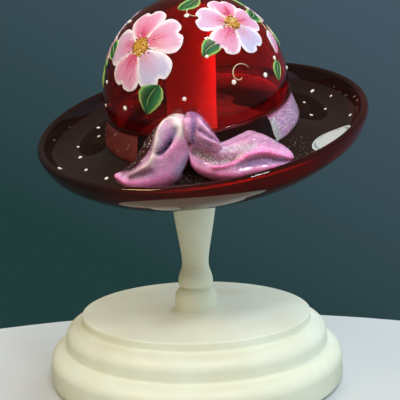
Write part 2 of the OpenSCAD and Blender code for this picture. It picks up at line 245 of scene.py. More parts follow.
foot_overhang = STEM_FOOT_R - STEM_GROOVE_R
stem_neck = (STEM_NECK_R, STEM_NECK_H)
stem_top_centre = (STEM_POST_R - STEM_TOP_ROUND, stem_h - STEM_TOP_ROUND)
stem_profile = ([(0, 0), (STEM_FOOT_R, 0)]
                + arc((STEM_GROOVE_R, STEM_FOOT_H), (foot_overhang, STEM_SHOULDER_H), 0, 90, 16)
                + arc((STEM_GROOVE_R, bead_h), (bead_round, bead_round), -90, 0, 10)
                + curve((STEM_BEAD_R, bead_h + STEM_BEAD_L), (0, 4.5), (0, -4.2), stem_neck, 24)
                + curve(stem_neck, (0, 9.3), (-0.4, -28), (STEM_POST_R, STEM_FLARE_H), 40)[1:]
                + arc(stem_top_centre, (STEM_TOP_ROUND, STEM_TOP_ROUND), 0, 90, 8)
                + [(0, stem_h)])
stem = new_piece("turned_stem", *lathe(stem_profile, 128), paint, "stand", "painted_wood",
                 at=Matrix.Translation((0, 0, BASE_H)))
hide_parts("stem")

# Pad glued on top of the stem, so that glass does not knock on wood.
# White pressed wool, trimmed to the hollow of the crown.
dress("stem_pad", pressed_wool("white pressed wool felt", "C9C2B0", "EFEADD", 0.4, 0.3))

# Glass hat. Ruby glass, pressed in one piece and fire-polished: a domed crown, a flare that carries
# the ribbon, and a dished brim with an upturned rim. It leans on the pad under the bow's weight.
CROWN_R, CROWN_WALL, CROWN_SIDE_H, CROWN_BEAD_R = 48.2, 4.4, 20.0, 0.9
FLARE_H, FLARE_TOP_R, FLARE_FOOT_R = 13.8, 47.4, 52.2
BRIM_R, RIM_H, RIM_ROUND, BRIM_DROP = 87.2, 7.2, 2.0, 12.0
RIM_FOOT_IN, RIM_FOOT_DOWN, RIM_EDGE_IN, RIM_EDGE_DOWN, BRIM_LOW_IN = 5.7, 8.2, 4.4, 11.4, 21.2
MOUTH_R, MOUTH_FLAT, MOUTH_RISE, MOUTH_SIDE, THROAT_H = 46.0, 1.0, 4.5, 1.0, 4.0
TILT_FRONT, TILT_SIDE, HAT_SHIFT = 22.3, 7.7, 2.5
PAD_H, PAD_GAP = 3.0, 0.3
crown_in_r = CROWN_R - CROWN_WALL
dome_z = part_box("stem")[1].z / MM + PAD_H + PAD_GAP - crown_in_r
hung = (Matrix.Translation((HAT_SHIFT, 0, dome_z))
        @ Matrix.Rotation(math.radians(-TILT_SIDE), 4, "Y")
        @ Matrix.Rotation(math.radians(TILT_FRONT), 4, "X")
        @ Matrix.Translation((0, 0, -CROWN_SIDE_H)))
rim_centre = (BRIM_R - RIM_ROUND, RIM_H - RIM_ROUND)
rim_foot = (BRIM_R - RIM_FOOT_IN, RIM_H - RIM_FOOT_DOWN)
rim_edge = (BRIM_R - RIM_EDGE_IN, RIM_H - RIM_EDGE_DOWN)
brim_low = (BRIM_R - BRIM_LOW_IN, -BRIM_DROP)
mouth_foot = (MOUTH_R, MOUTH_RISE - BRIM_DROP)
brim_top = curve((FLARE_FOOT_R, 0), (8, -6.5), (-7.5, -8.5), rim_foot, 40)
rim_outside = curve((BRIM_R, rim_centre[1]), (-0.8, -4), (2.2, 1.9), rim_edge, 16)
underside = curve(rim_edge, (-7, -6.4), (8.5, 0), brim_low, 24)
mouth = curve((brim_low[0] - MOUTH_FLAT, brim_low[1]), (-7, 0), (6, -2.5), mouth_foot, 16)
throat = curve((MOUTH_R, mouth_foot[1] + MOUTH_SIDE), (-1, 2.5), (0, -6), (crown_in_r, THROAT_H), 12)
hat_profile = (arc((0, CROWN_SIDE_H), (CROWN_R, CROWN_R), 90, 0, 60)
               + arc((CROWN_R, FLARE_H + CROWN_BEAD_R), (CROWN_BEAD_R, CROWN_BEAD_R), 90, -90, 12)
               + [(FLARE_TOP_R, FLARE_H)] + brim_top
               + arc(rim_centre, (RIM_ROUND, RIM_ROUND), 165, 0, 16) + rim_outside[1:-1]
               + underside + mouth + throat
               + arc((0, CROWN_SIDE_H), (crown_in_r, crown_in_r), 0, 90, 50))


def hat_piece(name, points, faces, material, slot, crease=40):
    return new_piece(name, points, faces, material, "hat", slot, crease, hung)


def blend(first, second, share):
    return tuple(a + (b - a) * share for a, b in zip(first, second))


def smoothstep(low, high, value):
    t = min(max((value - low) / (high - low), 0), 1)
    return t * t * (3 - 2 * t)


# Stores one colour and alpha per vertex, which the finish reads
def tint(piece, colours):
    layer = piece.data.color_attributes.new("tint", "FLOAT_COLOR", "POINT")
    layer.data.foreach_set("color", [channel for colour in colours for channel in colour])


# Ruby glass: red passes, green and blue are soaked up within a millimetre or two, so it glows red where
# light comes through one wall. The flare and the brim are coloured a much denser brown-red as painted shade,
# and the rim at the front right a clearer red as a painted glow. The tint's alpha is the glass's clarity.
ruby, tree, shader = new_material("fire-polished ruby glass")
WAVE_MM, WAVE_DEPTH_MM, RUBY_PER_M = 24.0, 1.0, 790.0
place = add(tree, "ShaderNodeTexCoord").outputs["Object"]
strike = add(tree, "ShaderNodeAttribute", attribute_name="tint")
tree.links.new(strike.outputs["Color"], shader.inputs["Base Color"])
waves = add(tree, "ShaderNodeTexNoise", {"Vector": place, "Scale": 1000 / WAVE_MM, "Detail": 1.0})
bump = add(tree, "ShaderNodeBump",
           {"Height": waves.outputs[0], "Strength": 0.1, "Distance": WAVE_DEPTH_MM * MM})
tree.links.new(bump.outputs[0], shader.inputs["Normal"])
shader.inputs["Roughness"].default_value = 0.015
shader.inputs["IOR"].default_value = 1.6
tree.links.new(strike.outputs["Alpha"], shader.inputs["Transmission Weight"])
depth = add(tree, "ShaderNodeVolumeAbsorption", {"Color": linear("FC666C"), "Density": RUBY_PER_M})
tree.links.new(depth.outputs[0], tree.nodes["Material Output"].inputs["Volume"])
hat_points, hat_faces = lathe(hat_profile, 192)
hat = hat_piece("ruby_glass_hat", hat_points, hat_faces, ruby, "ruby_glass", 25)
CLEAR_RUBY = linear("FFF0F0")
# Painted shade on the flare and the brim: a dull brown-red, and less clear
SHADED_BRIM_RUBY = linear("2A1C18")[:3] + (0.35,)
# Painted glow on the rim towards the front right: a clearer red
GLOWING_RIM_RUBY = linear("88302E")[:3] + (0.88,)
RIM_GLOW_SIDE = Vector((0.5, -0.87, 0))
RIM_FADE, RIM_FULL, RIM_GLOW_ELSEWHERE = 10.0, 3.0, 0.05
# Each vertex takes the painted glow on the rim, most of it towards the front right, and the painted shade
# below the crown
hat_tints = []
for q in hat_points:
    radius = math.hypot(q.x, q.y)
    facing = smoothstep(0.35, 0.98, q.dot(RIM_GLOW_SIDE) / max(radius, 1))
    at_rim = smoothstep(BRIM_R - RIM_FADE, BRIM_R - RIM_FULL, radius)
    shade_and_glow = blend(SHADED_BRIM_RUBY, GLOWING_RIM_RUBY, at_rim * (RIM_GLOW_ELSEWHERE + (1 - RIM_GLOW_ELSEWHERE) * facing))
    colour = blend(CLEAR_RUBY, shade_and_glow, smoothstep(FLARE_H + 2 * CROWN_BEAD_R, FLARE_H, q.z))
    clarity = blend(CLEAR_RUBY, shade_and_glow, smoothstep(FLARE_H, 0, q.z))
    hat_tints.append(colour[:3] + clarity[3:])
tint(hat, hat_tints)
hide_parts("glass_hat")

# Ribbon band. Thick glitter enamel laid on the flare with a brush, from behind the bow's tail round
# the back to its loop, then fired. It is lilac on the right, and dull rose with few flakes on the left as
# painted shade.
BAND_FROM, BAND_TO, BAND_T, BAND_MARGIN = 41.5, 41.0, 0.8, 0.6
BAND_RAGGED, BAND_WAVE, BAND_LUMP, BAND_LIFT, BAND_SINK = 1.2, 0.3, 0.14, 0.12, 0.06
BAND_SHADE_FROM, BAND_SHADE_TO, BAND_GREEN_FROM, BAND_GREEN_TO = 150, 230, 48, 42


# A place on the hat: degrees round from the front to the right, distance from its axis, and height
def on_hat(azimuth, r, h):
    a = math.radians(azimuth)
    return Vector((r * math.sin(a), -r * math.cos(a), h))


# Radius of the crown's or the flare's skin at a height
def skin_r(h):
    return CROWN_R if h > FLARE_H else FLARE_FOOT_R + (FLARE_TOP_R - FLARE_FOOT_R) * max(h, 0) / FLARE_H


# A sheet of points in rows, closed with a second sheet behind it into a thin solid
def shell(front, back):
    rows, columns = len(front), len(front[0])
    points = [p for row in front for p in row] + [p for row in back for p in row]
    half = rows * columns
    faces = []
    for i in range(rows - 1):
        for j in range(columns - 1):
            a = i * columns + j
            faces.append([a, a + 1, a + columns + 1, a + columns])
            faces.append([half + a, half + a + columns, half + a + columns + 1, half + a + 1])
    rim = ([j for j in range(columns)] + [i * columns + columns - 1 for i in range(1, rows)]
           + [(rows - 1) * columns + j for j in range(columns - 2, -1, -1)]
           + [i * columns for i in range(rows - 2, 0, -1)])
    faces += [[b, a, half + a, half + b] for a, b in zip(rim, rim[1:] + rim[:1])]
    return points, faces


# Glitter enamel: a glossy, slightly clear film full of flakes. The flakes are drawn coarser than real ones,
# which are 0.2 mm, so that they show. The tint's alpha says how thickly the flakes lie.
FLAKE_DEPTH_MM, ENAMEL_CLEAR_MM = 0.3, 3.0


def glitter_enamel(name, flake_mm, gloss):
    material, tree, shader = new_material(name)
    place = add(tree, "ShaderNodeTexCoord").outputs["Object"]
    film = add(tree, "ShaderNodeAttribute", attribute_name="tint")
    cells = add(tree, "ShaderNodeTexVoronoi",
                {"Vector": place, "Scale": 1000 / flake_mm, "Randomness": 1.0})
    chance = add(tree, "ShaderNodeSeparateColor", {0: cells.outputs["Color"]})
    shows = add(tree, "ShaderNodeMath", {0: chance.outputs[0], 1: film.outputs["Alpha"]},
                operation="LESS_THAN")
    small = add(tree, "ShaderNodeMath", {0: cells.outputs["Distance"], 1: 0.42}, operation="LESS_THAN")
    flake = add(tree, "ShaderNodeMath", {0: shows.outputs[0], 1: small.outputs[0]}, operation="MULTIPLY")
    cloud_mm = 6 * flake_mm
    cloud = add(tree, "ShaderNodeTexNoise", {"Vector": place, "Scale": 1000 / cloud_mm, "Detail": 3.0})
    mottle = add(tree, "ShaderNodeMapRange", {"Value": cloud.outputs[0], 1: 0.3, 2: 0.7, 3: 0.82, 4: 1.12})
    body = add(tree, "ShaderNodeVectorMath", {0: film.outputs["Color"], "Scale": mottle.outputs[0]},
               operation="SCALE")
    sparkle = add(tree, "ShaderNodeMix", {0: chance.outputs[1], 6: linear("F7EEDC"), 7: linear("E9DDF6")},
                  data_type="RGBA")
    colour = add(tree, "ShaderNodeMix", {0: flake.outputs[0], 6: body.outputs[0], 7: sparkle.outputs[2]},
                 data_type="RGBA")
    tree.links.new(colour.outputs[2], shader.inputs["Base Color"])
    lumps = add(tree, "ShaderNodeMath", {0: cells.outputs["Distance"], 1: flake.outputs[0]},
                operation="MULTIPLY")
    bump = add(tree, "ShaderNodeBump",
               {"Height": lumps.outputs[0], "Strength": 0.3, "Distance": FLAKE_DEPTH_MM * MM})
    tree.links.new(bump.outputs[0], shader.inputs["Normal"])
    rough = add(tree, "ShaderNodeMapRange", {"Value": flake.outputs[0], 3: gloss, 4: 0.2})
    tree.links.new(rough.outputs[0], shader.inputs["Roughness"])
    shader.inputs["Subsurface Weight"].default_value = 0.4
    shader.inputs["Subsurface Radius"].default_value = (1.0, 0.45, 0.6)
    shader.inputs["Subsurface Scale"].default_value = ENAMEL_CLEAR_MM * MM
    shader.inputs["Coat Weight"].default_value = 0.8
    shader.inputs["Coat Roughness"].default_value = 0.06
    return material


band_enamel = glitter_enamel("lilac glitter enamel", 0.9, 0.4)
LILAC, PALE_GREEN, ROSE_EDGE, SHADED_ROSE = (linear(c) for c in ("B988BD", "B4CDBF", "B65A85", "6E2A28"))
BAND_ROWS, BAND_COLUMNS = 280, 13
band_front, band_back, band_tints = [], [], []
for i in range(BAND_ROWS + 1):
    front_row, back_row = [], []
    for j in range(BAND_COLUMNS + 1):
        up = j / BAND_COLUMNS
        ragged = BAND_RAGGED * noise.noise((up * 6, 3.1, 0))
        azimuth = BAND_FROM + ragged + (360 - BAND_FROM - BAND_TO - ragged) * i / BAND_ROWS
        edge_wave = BAND_WAVE * noise.noise((azimuth * 0.09, 7.7, 0)) * (2 * up - 1)
        h = BAND_MARGIN + (FLARE_H - 2 * BAND_MARGIN) * up + edge_wave
        ends = smoothstep(0, 0.012, i / BAND_ROWS) * smoothstep(1, 0.988, i / BAND_ROWS)
        full = (1 - abs(2 * up - 1) ** 6) * ends
        lump = BAND_LUMP * noise.noise((azimuth * 0.55, h * 0.45, 1.0))
        front_row.append(on_hat(azimuth, skin_r(h) + BAND_LIFT + (BAND_T + lump) * full, h))
        back_row.append(on_hat(azimuth, skin_r(h) - BAND_SINK, h))
        # Painted shade: from the back round to the left, the band turns dull rose with few flakes
        thin = smoothstep(BAND_SHADE_FROM, BAND_SHADE_TO, azimuth)
        upper_edge = 0.7 * smoothstep(0.72, 0.98, up) * (1 - thin)
        green_end = 0.8 * smoothstep(BAND_GREEN_FROM, BAND_GREEN_TO, azimuth) * smoothstep(0.9, 0.7, up)
        flakes = 0.78 * (1 - 0.97 * thin) * smoothstep(1, 0.8, up)
        colour = blend(blend(LILAC, SHADED_ROSE, thin), ROSE_EDGE, upper_edge)
        band_tints.append(blend(colour, PALE_GREEN, green_end)[:3] + (flakes,))
    band_front.append(front_row)
    band_back.append(back_row)
band = hat_piece("ribbon_band", *shell(band_front, band_back), band_enamel, "pink_enamel", 75)
tint(band, band_tints * 2)
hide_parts("hat_band")

# Bow. Three folds of enamel paste modelled on the hot glass: a loop that turns down to the left, a tail
# thrown to the right, and a knot over both. Rose on the rolled lips, lilac on the slopes, glitter between.
# The dark violet, grey-brown and lilac laid into the sunk folds (the loop's hollow and slit, the tail's
# dents, the knot's valleys) are painted shade.
BOW_H, BOW_W, BOW_SINK = 25.0, 16.0, 0.6
LOBE_LEAN, LOBE_FULLNESS, LOBE_END, LOBE_BLUNT, LOBE_NARROW = 40, 0.58, 8, 2.6, 0.2
LOBE_ROWS, LOBE_COLUMNS, PASTE_CELL, PASTE_ROUNDS = 84, 42, 0.5, 5
LUMP_H, LUMP_PER_MM, GRAIN_H, GRAIN_PER_MM = 0.35, 0.16, 0.15, 0.5
bow_enamel = glitter_enamel("pink glitter enamel paste", 0.62, 0.26)


# An even line through all the places, with no corners
def smooth_line(places, steps):
    line = []
    for k in range(steps + 1):
        u = k / steps * (len(places) - 1)
        i = min(int(u), len(places) - 2)
        t = u - i
        a, b, c, d = places[max(i - 1, 0)], places[i], places[i + 1], places[min(i + 2, len(places) - 1)]
        line.append(tuple(q + t / 2 * (r - p + t * (2 * p - 5 * q + 4 * r - s + t * (3 * (q - r) + s - p)))
                          for p, q, r, s in zip(a, b, c, d)))
    return line


# Height of the brim's dish at a distance from the hat's axis
def brim_height(r):
    for (r0, h0), (r1, h1) in zip(brim_top, brim_top[1:]):
        if r <= r1:
            return h0 + (h1 - h0) * (r - r0) / (r1 - r0)
    return brim_top[-1][1]


# How far a place on a lobe lies from a fold's line, in mm
def line_distance(place, line, size):
    p, *points = [Vector((q[0] * size[0], q[1] * size[1])) for q in [place] + line]
    best = 1e9
    for a, b in zip(points, points[1:]):
        share = min(max((p - a).dot(b - a) / (b - a).length_squared, 0), 1)
        best = min(best, (p - a - (b - a) * share).length)
    return best


# The paste flowed a little as it was fired, so every edge is round: the lobe is cut into cells and smoothed
def softened(points, faces, cell, rounds):
    mesh = bpy.data.meshes.new("paste")
    mesh.from_pydata(points, [], faces)
    lump = bpy.data.objects.new("paste", mesh)
    bpy.context.scene.collection.objects.link(lump)
    remesh = lump.modifiers.new("cells", "REMESH")
    remesh.mode, remesh.voxel_size = "VOXEL", cell
    lump.modifiers.new("flow", "SMOOTH").iterations = rounds
    baked = bpy.data.meshes.new_from_object(lump.evaluated_get(bpy.context.evaluated_depsgraph_get()))
    soft = [v.co.copy() for v in baked.vertices], [list(face.vertices) for face in baked.polygons]
    bpy.data.objects.remove(lump)
    bpy.data.meshes.remove(mesh)
    bpy.data.meshes.remove(baked)
    return soft


# A lobe spans its two edges, each given as angle, stand-off and height. A fold is a line of places along
# and across the lobe, its half width and height in mm, its colour and how far that covers the film.
def bow_lobe(name, node_name, upper, lower, swell, size, ends, ground, folds):
    edges = [[Vector((azimuth, skin_r(h * BOW_H) + off * BOW_W, h * BOW_H))
              for azimuth, off, h in smooth_line(edge, LOBE_ROWS)] for edge in (upper, lower)]
    front, back, tints = [], [], []
    for i, (top, foot) in enumerate(zip(*edges)):
        along = i / LOBE_ROWS
        pinch = min(1, along / ends[0], (1 - along) / ends[1])
        narrow = LOBE_NARROW + (1 - LOBE_NARROW) * (1 - (1 - pinch) ** LOBE_BLUNT) ** (1 / LOBE_BLUNT)
        middle = (top + foot) / 2
        top, foot = middle.lerp(top, narrow), middle.lerp(foot, narrow)
        azimuth = middle.x
        out = on_hat(azimuth, math.cos(math.radians(LOBE_LEAN)), math.sin(math.radians(LOBE_LEAN)))
        full = swell * narrow * math.sqrt(math.sin(math.radians(LOBE_END + (180 - 2 * LOBE_END) * along)))
        back_top = on_hat(top.x, skin_r(top.z) - BOW_SINK, top.z)
        if foot.z > 0:
            back_foot = on_hat(foot.x, skin_r(foot.z) - BOW_SINK, foot.z)
            corner = (back_top + back_foot) / 2
        else:
            undercut = foot.y - max(foot.z - brim_height(foot.y), 0)
            back_foot = on_hat(foot.x, undercut, brim_height(undercut) - BOW_SINK)
            corner = on_hat(azimuth, FLARE_FOOT_R - BOW_SINK, foot.z / 4 - BOW_SINK)
        front_row, back_row = [], []
        for j in range(LOBE_COLUMNS + 1):
            across = j / LOBE_COLUMNS
            point = on_hat(*top).lerp(on_hat(*foot), across)
            point += out * full * math.sin(math.pi * across) ** LOBE_FULLNESS
            rise, colour = 0.0, ground
            for line, width, height, shade, cover in folds:
                near = math.exp(-(line_distance((along, across), line, size) / width) ** 2)
                rise += height * near
                colour = blend(colour, shade, min(1, cover * near))
            rise += LUMP_H * noise.noise(point * LUMP_PER_MM) + GRAIN_H * noise.noise(point * GRAIN_PER_MM)
            front_row.append(point + out * rise * (0.35 + 0.65 * math.sin(math.pi * across) ** 0.4))
            tints.append(colour)
            upper_half = across < 0.5
            back_row.append(back_top.lerp(corner, across * 2) if upper_half
                            else corner.lerp(back_foot, across * 2 - 1))
        front.append(front_row)
        back.append(back_row)
    points, faces = softened(*shell(front, back), PASTE_CELL, PASTE_ROUNDS)
    sheet = kdtree.KDTree(len(tints))
    for k, point in enumerate(p for row in front for p in row):
        sheet.insert(point, k)
    sheet.balance()
    piece = hat_piece(name, points, faces, bow_enamel, "pink_enamel", 180)
    tint(piece, [tints[sheet.find(point)[1]] for point in points])
    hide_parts(node_name)


# Colour of the enamel and the share of it that is flakes
def film(hex_colour, flakes):
    return linear(hex_colour)[:3] + (flakes,)


loop_upper = [(-8, 0.3, 0.97), (-14, 0.3, 1.02), (-21, 0.32, 0.92), (-29, 0.4, 0.62),
              (-36, 0.26, 0.22), (-41.5, 0.3, 0.02), (-44.5, 0.55, -0.06)]
loop_lower = [(-7.5, 0.496, 0.36), (-10.8, 0.43, 0.1), (-16, 0.56, -0.1), (-25, 0.84, -0.18),
              (-33, 0.987, -0.18), (-39.5, 0.862, -0.18), (-44, 0.76, -0.18)]
loop_folds = [
    ([(0.44, 0.0), (0.5, 0.25), (0.6, 0.36), (0.76, 0.24)], 4.6, 0.0, film("3E1816", 0.16), 2.2),
    ([(0.14, 0.0), (0.26, 0.04), (0.33, 0.18), (0.36, 0.36), (0.385, 0.5), (0.45, 0.65), (0.62, 0.68)],
     1.5, 2.8, film("FFECE6", 0.85), 1.1),
    ([(0.13, 0.0), (0.11, 0.2), (0.09, 0.4)], 3.3, 1.4, film("FFF8F2", 0.95), 1.25),
    ([(0.2, 0.14), (0.28, 0.22)], 3.0, 0.8, film("DDB0D4", 0.25), 0.8),
    # Painted shade: the lilac hollow and the dark violet slit on these two lines
    ([(0.16, 0.32), (0.24, 0.4), (0.33, 0.48)], 2.2, -2.2, film("8C7CB4", 0.1), 0.9),
    ([(0.25, 0.42), (0.37, 0.52)], 1.2, -2.8, film("281C38", 0.04), 1.3),
    ([(0.02, 0.75), (0.14, 0.6), (0.3, 0.62)], 2.8, 1.2, film("E493C6", 0.22), 0.8),
    ([(0.05, 0.96), (0.2, 0.95), (0.33, 0.95)], 2.0, 0.3, film("B9AEE4", 0.15), 0.9),
    ([(0.36, 0.95), (0.55, 0.93), (0.75, 0.82), (0.9, 0.6), (0.94, 0.35)],
     3.0, 1.4, film("FF98D6", 0.06), 1.1),
    ([(0.46, 0.74), (0.66, 0.68), (0.8, 0.5)], 2.6, -0.5, film("D69CCB", 0.4), 0.8)]
bow_lobe("bow_loop", "bow_left_loop", loop_upper, loop_lower, 6.0, (48, 26), (0.05, 0.14),
         film("F2AEE6", 0.3), loop_folds)

tail_upper = [(-8.2, 0.395, 0.52), (-1, 0.395, 0.52), (8, 0.308, 0.36), (19, 0.33, 0.4),
              (27, 0.33, 0.41), (34, 0.252, 0.22), (39, 0.3, 0.02), (38.5, 0.675, -0.1)]
tail_lower = [(-9, 0.365, 0.2), (-6.5, 0.44, 0.03), (1, 0.58, -0.12), (10, 0.76, -0.17),
              (18, 0.8, -0.17), (26, 0.925, -0.17), (33, 0.925, -0.18), (37.5, 0.8, -0.18)]
tail_folds = [
    # Painted shade: the grey-brown dent on this line
    ([(0.1, 0.4), (0.22, 0.48), (0.38, 0.54)], 4.0, -3.0, film("A0828C", 0.72), 1.0),
    ([(0.26, 0.1), (0.38, 0.22), (0.5, 0.36)], 2.6, -0.5, film("C0B0BE", 0.75), 0.85),
    ([(0.46, 0.1), (0.58, 0.16), (0.7, 0.22)], 3.2, 1.4, film("C896BE", 0.1), 0.9),
    ([(0.03, 0.1), (0.03, 0.6), (0.12, 0.93)], 2.0, 1.8, film("FFA4DA", 0.08), 1.0),
    ([(0.28, 0.74), (0.48, 0.54), (0.64, 0.58), (0.83, 0.78), (0.95, 0.9)],
     1.6, 2.0, film("FF8ECE", 0.1), 1.1),
    # Painted shade: the lilac hollow and the violet groove on these two lines
    ([(0.45, 0.74), (0.6, 0.8), (0.78, 0.8)], 2.2, -1.2, film("AC90C2", 0.18), 0.9),
    ([(0.5, 0.67), (0.66, 0.7), (0.82, 0.86)], 0.7, -0.6, film("6A4F74", 0.0), 0.7),
    ([(0.12, 0.93), (0.3, 0.93), (0.5, 0.96), (0.7, 0.97)], 2.4, 1.4, film("F88EC8", 0.05), 1.0)]
bow_lobe("bow_tail", "bow_right_tail", tail_upper, tail_lower, 5.0, (55, 24), (0.14, 0.12),
         film("EAA8DC", 0.26), tail_folds)

knot_upper = [(-9.5, 0.362, 0.98), (-6, 0.425, 1.03), (-1.5, 0.425, 0.98),
              (2, 0.425, 0.82), (5, 0.425, 0.62), (8, 0.371, 0.4)]
knot_lower = [(-9.5, 0.425, 0.76), (-7.5, 0.612, 0.6), (-3, 0.675, 0.52),
              (0.5, 0.675, 0.42), (4, 0.579, 0.34), (7, 0.452, 0.28)]
knot_folds = [
    ([(0.14, 0.15), (0.15, 0.45), (0.18, 0.75)], 2.4, 1.8, film("EAA9D2", 0.12), 1.0),
    # Painted shade: the violet valleys on this line and on the last one
    ([(0.32, 0.0), (0.33, 0.4), (0.3, 0.95)], 1.0, -2.4, film("8668A0", 0.1), 0.95),
    ([(0.44, 0.05), (0.5, 0.25), (0.62, 0.3)], 2.0, 2.2, film("EBB6E0", 0.1), 1.0),
    ([(0.42, 0.78), (0.6, 0.72), (0.8, 0.68), (0.97, 0.55)], 1.7, 1.8, film("EAACD6", 0.12), 1.0),
    ([(0.44, 0.52), (0.66, 0.54), (0.85, 0.44)], 0.8, -2.4, film("5A4474", 0.05), 1.1)]
bow_lobe("bow_knot_fold", "bow_knot", knot_upper, knot_lower, 5.0, (25, 14), (0.2, 0.2),
         film("C48CB8", 0.15), knot_folds)

# Painted blossoms. Fired enamel, thick enough to feel: five-petalled wild roses and buds, white at the rim
# of each petal and pink at its heart, dragged on with a streaky brush.
rng = random.Random(11)


# A patch of the dome about one place. In it u runs to the side and v ahead, in mm along the glass.
def dome_spot(azimuth, elevation, turn=0.0):
    a, e, w = (math.radians(x) for x in (azimuth, elevation, turn))
    centre = Vector((math.cos(e) * math.sin(a), -math.cos(e) * math.cos(a), math.sin(e)))
    right = Vector((math.cos(a), math.sin(a), 0))
    up = centre.cross(right)
    side, ahead = right * math.cos(w) + up * math.sin(w), up * math.cos(w) - right * math.sin(w)

    def spot(u, v, lift):
        reach = math.hypot(u, v)
        way = (side * u + ahead * v) / max(reach, 1e-9)
        turned = centre * math.cos(reach / CROWN_R) + way * math.sin(reach / CROWN_R)
        return turned * (CROWN_R + lift) + Vector((0, 0, CROWN_SIDE_H))
    return spot


# All the paint of one kind, gathered stroke by stroke into one piece
class Brushwork:
    def __init__(self):
        self.points, self.faces, self.tints = [], [], []

    # A sheet of paint, with its back just inside the glass
    def lay(self, front, back, tints):
        points, faces = shell(front, back)
        base = len(self.points)
        self.points += points
        self.faces += [[base + i for i in face] for face in faces]
        self.tints += tints * 2

    # A cap of rings, from its middle outwards
    def cap(self, rows, colour):
        base = len(self.points)
        sides = len(rows[0])
        self.points.append(rows[0][0])
        for row in rows[1:]:
            self.points += row
        for k in range(sides):
            n = (k + 1) % sides
            self.faces.append([base, base + 1 + k, base + 1 + n])
            for i in range(len(rows) - 2):
                a = base + 1 + i * sides
                self.faces.append([a + k, a + sides + k, a + sides + n, a + n])
        last = base + 1 + (len(rows) - 2) * sides
        self.faces.append([last + k for k in range(sides - 1, -1, -1)])
        self.tints += [colour] * (len(self.points) - base)

    def piece(self, name, material):
        made = hat_piece(name, self.points, self.faces, material, "pink_enamel", 60)
        tint(made, self.tints)
        return made


# Fired enamel: opaque, glossy, with fine ridges that the brush left
RIDGE_DEPTH_MM = 0.2


def fired_enamel(name, ridge_mm, gloss):
    material, tree, shader = new_material(name)
    place = add(tree, "ShaderNodeTexCoord").outputs["Object"]
    film = add(tree, "ShaderNodeAttribute", attribute_name="tint")
    ridges = add(tree, "ShaderNodeTexNoise", {"Vector": place, "Scale": 1000 / ridge_mm, "Detail": 4.0})
    tone = add(tree, "ShaderNodeMapRange", {"Value": ridges.outputs[0], 1: 0.3, 2: 0.7, 3: 0.9, 4: 1.06})
    body = add(tree, "ShaderNodeVectorMath", {0: film.outputs["Color"], "Scale": tone.outputs[0]},
               operation="SCALE")
    tree.links.new(body.outputs[0], shader.inputs["Base Color"])
    bump = add(tree, "ShaderNodeBump",
               {"Height": ridges.outputs[0], "Strength": 0.25, "Distance": RIDGE_DEPTH_MM * MM})
    tree.links.new(bump.outputs[0], shader.inputs["Normal"])
    rough = add(tree, "ShaderNodeMapRange", {"Value": ridges.outputs[0], 3: gloss, 4: gloss + 0.15})
    tree.links.new(rough.outputs[0], shader.inputs["Roughness"])
    return material


WHITE, BLUSH, PINK, CRIMSON, ICE = (linear(c) for c in ("F3EEF4", "E39BBD", "D85C8C", "C02453", "BFC6E8"))
PETAL_ROWS, PETAL_COLUMNS, PETAL_BROADEST, PETAL_ROUND = 20, 26, 0.7, 0.36
STREAK_W, STREAK_L, STREAK_H, PAINT_ROOT = 0.75, 9.0, 0.07, -0.12
PETAL_START, PETAL_L, PETAL_W, PETAL_COOL = 0.17, 0.85, 0.92, (0.05, 0.5, 0.1, 0.85, 0.25)
BUD_L, BUD_W, FOLD_L, FOLD_W, FOLD_TURN = 13, 7.5, 10.5, 4.5, 16
petal_work = Brushwork()


# One petal, with a notch at its end. Lengths are in mm on the dome, and cool is the share of ice blue.
def petal(azimuth, elevation, turn, start, length, width, lift, cool, notch=0.12):
    spot = dome_spot(azimuth, elevation, turn)
    seed = rng.uniform(0, 100)
    front, back, tints = [], [], []
    for i in range(PETAL_ROWS + 1):
        s = i / PETAL_ROWS
        open_up = 0.2 + 0.8 * math.sin(min(s / PETAL_BROADEST, 1) * math.pi / 2) ** 0.9
        close = math.sqrt(max(1 - (max(s - PETAL_BROADEST, 0) / PETAL_ROUND) ** 2, 0.05))
        front_row, back_row = [], []
        for j in range(PETAL_COLUMNS + 1):
            t = 2 * j / PETAL_COLUMNS - 1
            dip = notch * math.exp(-(t / 0.3) ** 2) * smoothstep(0.55, 1, s)
            wave = 0.02 * noise.noise((t * 2.5, s * 2, seed))
            u = t * width / 2 * open_up * close
            v = start + length * (s * (1 - dip + wave) - 0.05 * t * t * s)
            streak = noise.noise((u / STREAK_W, v / STREAK_L, seed))
            body = (1 - t * t) ** 0.5 * (1 - s ** 8)
            front_row.append(spot(u, v, 0.06 + lift * (0.3 + 0.7 * body) + STREAK_H * streak * body))
            back_row.append(spot(u, v, PAINT_ROOT))
            heart = smoothstep(1.0, 0.15, s + 0.45 * abs(t) + 0.2 * streak)
            edge = smoothstep(0.62, 0.98, max(abs(t), s ** 2.5) + 0.22 * streak)
            pink_share = (0.85 * heart + 0.3 * max(streak, 0)) * (1 - 0.6 * cool)
            crimson_share = 0.9 * smoothstep(0.1, 0.6, streak + 0.7 * heart - 0.35) * (1 - cool)
            colour = blend(blend(BLUSH, ICE, cool), PINK, pink_share)
            colour = blend(colour, CRIMSON, crimson_share)
            tints.append(blend(colour, WHITE, 0.9 * edge))
        front.append(front_row)
        back.append(back_row)
    petal_work.lay(front, back, tints)


# Five petals round a heart. The petals' sizes are shares of the blossom's radius.
def blossom(azimuth, elevation, turn, radius):
    for k, cool in enumerate(PETAL_COOL):
        petal(azimuth, elevation, turn + 72 * k + rng.uniform(-4, 4), PETAL_START * radius,
              PETAL_L * radius, PETAL_W * radius, 0.35 + 0.07 * (k % 3), cool)


